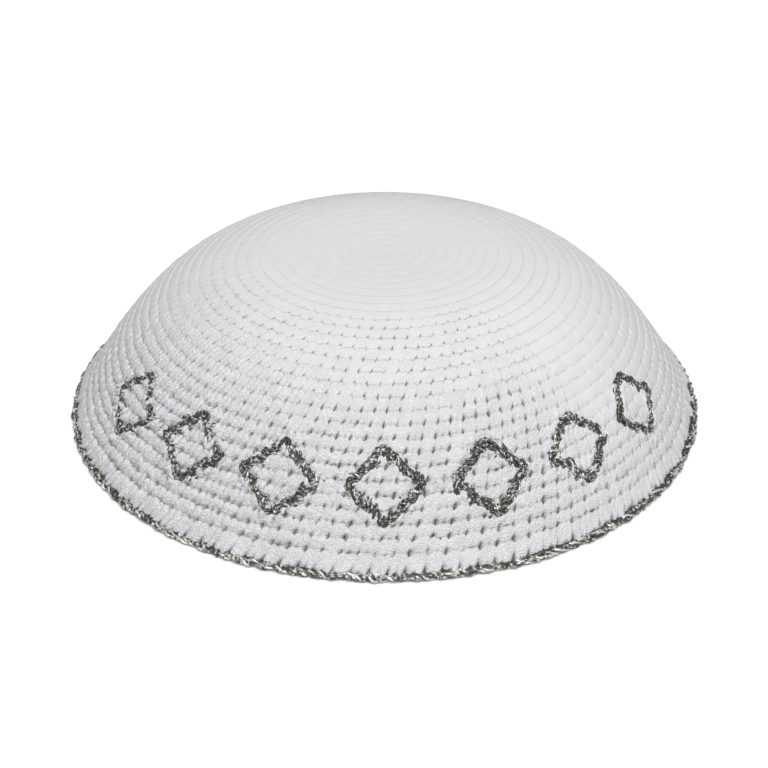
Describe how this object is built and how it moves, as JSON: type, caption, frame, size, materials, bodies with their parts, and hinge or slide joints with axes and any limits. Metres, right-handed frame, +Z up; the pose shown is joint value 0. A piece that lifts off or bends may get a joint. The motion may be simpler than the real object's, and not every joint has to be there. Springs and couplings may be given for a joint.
{
  "type": "crocheted kippah skullcap",
  "caption": "Round crocheted skullcap: a shallow white dome, open underneath, with a metallic thread round its rim and a band of lozenges on its front.",
  "frame": {"origin": "centre of the rim, on the surface that the cap rests on", "axes": "+Z up through the eye of the crown, -Y towards the front, where the lozenges are"},
  "size_m": [0.18, 0.18, 0.0465],
  "materials": {
    "cotton": "matte white crocheted cotton",
    "metallic_thread": "twisted silver and black metallic thread"
  },
  "bodies": {
    "root": {"crown": "cotton", "edging": "metallic_thread", "motif_1": "metallic_thread", "motif_2": "metallic_thread", "motif_3": "metallic_thread", "motif_4": "metallic_thread", "motif_5": "metallic_thread", "motif_6": "metallic_thread", "motif_7": "metallic_thread"}
  },
  "joints": []
}
